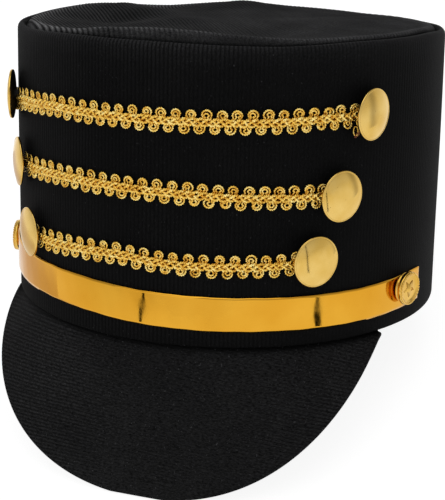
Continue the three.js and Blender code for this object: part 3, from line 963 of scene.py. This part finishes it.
def braid(name, seed):
    """Looped gimp: two wound cords run in rings above and below, held by a three-strand plait."""
    route = BRAIDS[name]
    draw = np.random.default_rng(seed)
    total = math.radians(route[-1][0] - route[0][0]) * CROWN_RADIUS
    loops = round(total / BRAID_PITCH)
    pitch = total / loops
    parts = []

    def lay(distance, offset, proud, radius, turn_length, groove, thread=0, **section):
        centre, outward = braid_line(route, distance, offset, proud)
        points, quads = wound(centre, outward, radius, turn_length, groove, **section)
        parts.append((points, quads, thread))

    for ring in RINGS:
        line = ring_cord(draw, 2 * loops, pitch, ring)
        lay(*line.T, ring["cord"], CORD_LAY, CORD_GROOVE)
    for strand in plait(total, pitch, loops * PLAIT["samples"]):
        lay(*strand, PLAIT["radius"], PLAIT["lay"], PLAIT["groove"])
    # The threads at the wearer's right end of the upper braid are cut shorter
    short = FRAY_SHORT_SHARE if name == "braid_upper" else 1
    for end, inward, kept in ((0, 1, short), (total, -1, 1)):
        for number, thread in enumerate(frayed_end(draw, end, inward, kept)):
            lay(*thread, FRAY_RADIUS, FRAY_LAY, 0, (number + 1) % 2, sides=5, plies=1)
    if name == "braid_upper":
        # Two stray loops hang below the wearer's left end
        t = np.linspace(0, 2 * math.pi, 60)
        gold = total - 3.6 + 0.9 * np.sin(t), -6.6 + 1.9 * np.cos(t), 0.9 + 0.3 * np.sin(t)
        brown = total - 2.9 + 1.1 * np.sin(t + 1), -8 + 1.3 * np.cos(t), 1.3 + 0.4 * np.cos(t)
        lay(*gold, 0.36, CORD_LAY, CORD_GROOVE)
        lay(*brown, 0.3, CORD_LAY, CORD_GROOVE, 1)
    build(name + "_cords", parts, [CORD, FRAYED], name)


# Buttons

def turned(profile, sides):
    """Body turned round the second axis from (radius, along) rows, as (points, quads)."""
    around = np.linspace(0, 2 * np.pi, sides, endpoint=False)
    rows = np.array(profile, float)
    points = np.stack([
        rows[:, :1] * np.cos(around)[None, :],
        np.broadcast_to(rows[:, 1:], (len(rows), sides)),
        rows[:, :1] * np.sin(around)[None, :],
    ], -1)
    return points, grid_faces(len(rows), sides, around_columns=True)


def button_frame(row, lift, lean=0.0):
    """Turns a button's own points, Y outward, into the hat's frame."""
    turn = math.radians(row["angle"])
    outward = np.array([math.sin(turn), -math.cos(turn), 0])
    sideways = np.array([math.cos(turn), math.sin(turn), 0])
    down = np.array([0, 0, -1.0])
    swing = -math.copysign(math.radians(lean), row["angle"])
    leaned_x = sideways * math.cos(swing) + outward * math.sin(swing)
    leaned_y = outward * math.cos(swing) - sideways * math.sin(swing)
    foot = on_crown(wall_radius(row["height"]) + lift, row["angle"], row["height"])
    return lambda points: foot + points @ np.stack([leaned_x, leaned_y, down])


def arc(centre, radius, start, end, count):
    """Rows (radius, along) on an arc about a centre, angles in degrees from the radial axis."""
    turn = np.radians(np.linspace(start, end, count))
    return list(zip(centre[0] + radius * np.cos(turn), centre[1] + radius * np.sin(turn)))


def large_button(row):
    """Domed cap with a rolled lip over a black back and its shank."""
    cap = []
    for radius in np.linspace(0, DOME_RADIUS, DOME_ROWS):
        cap.append((radius, DOME_HEIGHT - DOME_RISE * (radius / DOME_RADIUS) ** DOME_POWER))
    lip_centre = BUTTON_RADIUS - LIP_RADIUS
    cap.append(LIP_START)
    cap += arc((lip_centre, LIP_UPPER), LIP_RADIUS, 110, -20, 10)
    cap += arc((lip_centre, LIP_LOWER), LIP_RADIUS, -20, -100, 7)
    cap.append(LIP_END)
    place = button_frame(row, GAP + SHANK_RADIUS * math.sin(math.radians(row["lean"])), row["lean"])
    parts = []
    for number, profile in enumerate((cap, BACK_PROFILE)):
        points, quads = turned(profile, BUTTON_SIDES)
        parts.append((place(points), quads, number))
    build(row["name"] + "_dome", parts, [GILT, SHELL], row["name"])


def star():
    """Small raised star with a peaked middle, as (points, quads)."""
    count = 2 * STAR["points"]
    turn = np.linspace(0, 2 * np.pi, count, endpoint=False) + STAR["turn"]
    size = np.where(np.arange(count) % 2 == 0, STAR["outer"], STAR["inner"])
    rim = np.stack([size * np.cos(turn), np.full(count, STAR["height"]), size * np.sin(turn)], -1)
    shoulder = rim * [0.85, 1, 0.85] + [0, STAR["rise"] * 0.5, 0]
    peak = np.broadcast_to([0, STAR["height"] + STAR["rise"], 0], (count, 3))
    return np.stack([rim, shoulder, peak]), grid_faces(3, count, around_columns=True)


def rope():
    """Ring of twisted cord on the edge of a small button, as (points, quads)."""
    circle = ROPE["circle"]
    turn = np.linspace(0, 2 * np.pi, ROPE["beads"] * ROPE["samples"])
    height = np.full_like(turn, ROPE["height"])
    centre = np.stack([circle * np.cos(turn), height, circle * np.sin(turn)], -1)
    outward = np.broadcast_to([0.0, 1.0, 0.0], centre.shape)
    lay = 2 * math.pi * circle / ROPE["beads"]
    return wound(centre, outward, ROPE["radius"], lay, ROPE["groove"], sides=ROPE["sides"])


def strap_button(row):
    """Small button with a roped edge, a sunk field and a plain raised star."""
    place = button_frame(row, 2 * GAP + BAND_THICKNESS)
    parts = []
    for points, quads in (turned(STRAP_BUTTON_PROFILE, STRAP_BUTTON_SIDES), rope(), star()):
        parts.append((place(points), quads, 0))
    build(row["name"] + "_roped", parts, [GILT_STRAP], row["name"])


# Studio

def camera():
    """Camera fitted to the photo, with its centre shifted sideways."""
    azimuth, elevation = math.radians(CAMERA_AZIMUTH), math.radians(CAMERA_ELEVATION)
    roll = math.radians(CAMERA_ROLL)
    back = Vector((math.sin(azimuth) * math.cos(elevation), -math.cos(azimuth) * math.cos(elevation),
                   math.sin(elevation)))
    right = Vector((math.cos(azimuth), math.sin(azimuth), 0))
    up = back.cross(right)
    camera_right = right * math.cos(roll) + up * math.sin(roll)
    camera_up = up * math.cos(roll) - right * math.sin(roll)
    place = Vector((0, 0, CAMERA_AIM_HEIGHT)) * MM + back * CAMERA_DISTANCE * MM
    data = bpy.data.cameras.new("camera")
    data.sensor_width = SENSOR_MM
    data.lens = CAMERA_FOCAL_PX / IMAGE_HEIGHT * SENSOR_MM
    data.shift_x = -(CAMERA_CENTRE_PX - IMAGE_WIDTH / 2) / IMAGE_HEIGHT
    data.clip_start = 0.02
    data.clip_end = 40
    turn = Matrix((camera_right, camera_up, back)).transposed().to_4x4()
    bpy.context.scene.camera = put("camera", data, HAT @ Matrix.Translation(place) @ turn)


def stage_object(name, corners, faces, surface, matrix):
    """Mesh of the studio, which isn't a part of the hat."""
    mesh = bpy.data.meshes.new(name)
    mesh.from_pydata(corners, [], faces)
    mesh.materials.append(surface)
    made = put(name, mesh, matrix)
    return made


def facing(place, direction):
    """Matrix that stands at a place with its Z axis along a direction."""
    return Matrix.Translation(place) @ direction.to_track_quat("Z", "Y").to_matrix().to_4x4()


def flag_card(flag):
    """Card that faces the hat from the floor, or lies on it, and shows only in reflections."""
    surface, tree, shader = material(flag["name"], Base_Color=flag["colour"], Roughness=0.95,
                                     Specular_IOR_Level=0.0, Alpha=flag["solid"])
    widths = flag["widths"]
    if flag.get("soft"):
        local = add(tree, "ShaderNodeTexCoord").outputs["Object"]
        across = add(tree, "ShaderNodeSeparateXYZ", {"Vector": local}).outputs["X"]
        away = maths(tree, "ABSOLUTE", across)
        edge = widths[0][1] / 2
        feed(shader, Alpha=ramp(tree, away, (0, flag["solid"]), (edge, 0), interpolation="EASE"))
    corners = [(side * width / 2, height, 0) for height, width in widths for side in (-1, 1)]
    faces = [(row, row + 1, row + 3, row + 2) for row in range(0, len(corners) - 2, 2)]
    place = Vector((flag["x"], flag["y"], 0))
    matrix = facing(place, -place.normalized())
    if flag.get("flat"):
        matrix = Matrix.Translation(place + Vector((0, 0, 0.5 * MM)))
    card = stage_object(flag["name"], corners, faces, surface, matrix)
    card.visible_camera = False
    card.visible_diffuse = False
    card.visible_shadow = False


def area_light(row):
    """Square light that faces its aim."""
    data = bpy.data.lights.new(row["name"], "AREA")
    data.shape = "RECTANGLE"
    data.size = data.size_y = row["size"]
    data.energy = row["power"]
    place = Vector(row["place"])
    put(row["name"], data, facing(place, (place - Vector(LIGHT_AIM)).normalized()))


def sideways_tone(tree, place, near=0):
    """Tone that falls to either side of the vertical plane of the view, by direction from the hat."""
    turn = math.radians(VIEW_BEARING)
    inputs = {0: place, 1: (math.cos(turn), math.sin(turn), 0)}
    aside = add(tree, "ShaderNodeVectorMath", inputs, operation="DOT_PRODUCT").outputs["Value"]
    away = add(tree, "ShaderNodeVectorMath", {0: place}, operation="LENGTH").outputs["Value"]
    share = maths(tree, "DIVIDE", maths(tree, "ABSOLUTE", aside), maths(tree, "ADD", away, near))
    return ramp(tree, share, *SIDE_TONES, interpolation="EASE")


def floor():
    """Pale floor that gives off some light of its own."""
    surface, tree, shader = material("floor_paint", Roughness=0.9, Specular_IOR_Level=0.1,
                                     Emission_Strength=FLOOR_GLOW)
    # Glow and paint both fall off toward the sides of the view: a painted pool of light along the view and
    # round the hat
    tone = sideways_tone(tree, add(tree, "ShaderNodeTexCoord").outputs["Object"], FLOOR_EVEN_REACH)
    paint = mixed(tree, 1, tone, (FLOOR_PAINT,) * 3, "MULTIPLY")
    feed(shader, Emission_Color=tone, Base_Color=paint)
    half = FLOOR_SIZE / 2
    corners = [(-half, -half, 0), (half, -half, 0), (half, half, 0), (-half, half, 0)]
    stage_object("floor", corners, [(0, 1, 2, 3)], surface, Matrix.Identity(4))


def surroundings():
    """Pale sky that gets darker upward and to the sides."""
    world = bpy.data.worlds.new("studio")
    world.use_nodes = True
    tree = world.node_tree
    direction = add(tree, "ShaderNodeTexCoord").outputs["Generated"]
    height = add(tree, "ShaderNodeSeparateXYZ", {"Vector": direction}).outputs["Z"]
    colour = mixed(tree, 1, ramp(tree, height, *SKY_TONES), sideways_tone(tree, direction), "MULTIPLY")
    feed(tree.nodes["Background"], Color=colour)
    bpy.context.scene.world = world


def studio():
    """Floor, surroundings, cards and lights, with colours shown as they are."""
    floor()
    surroundings()
    for flag in FLAGS:
        flag_card(flag)
    for row in LIGHTS:
        area_light(row)
    scene = bpy.context.scene
    scene.view_settings.view_transform = "Standard"
    scene.view_settings.look = "None"


camera()
crown()
top()
visor()
band()
for number, braid_name in enumerate(BRAIDS):
    braid(braid_name, BRAID_SEED + number)
for button_row in BUTTONS:
    large_button(button_row)
for button_row in STRAP_BUTTONS:
    strap_button(button_row)
studio()
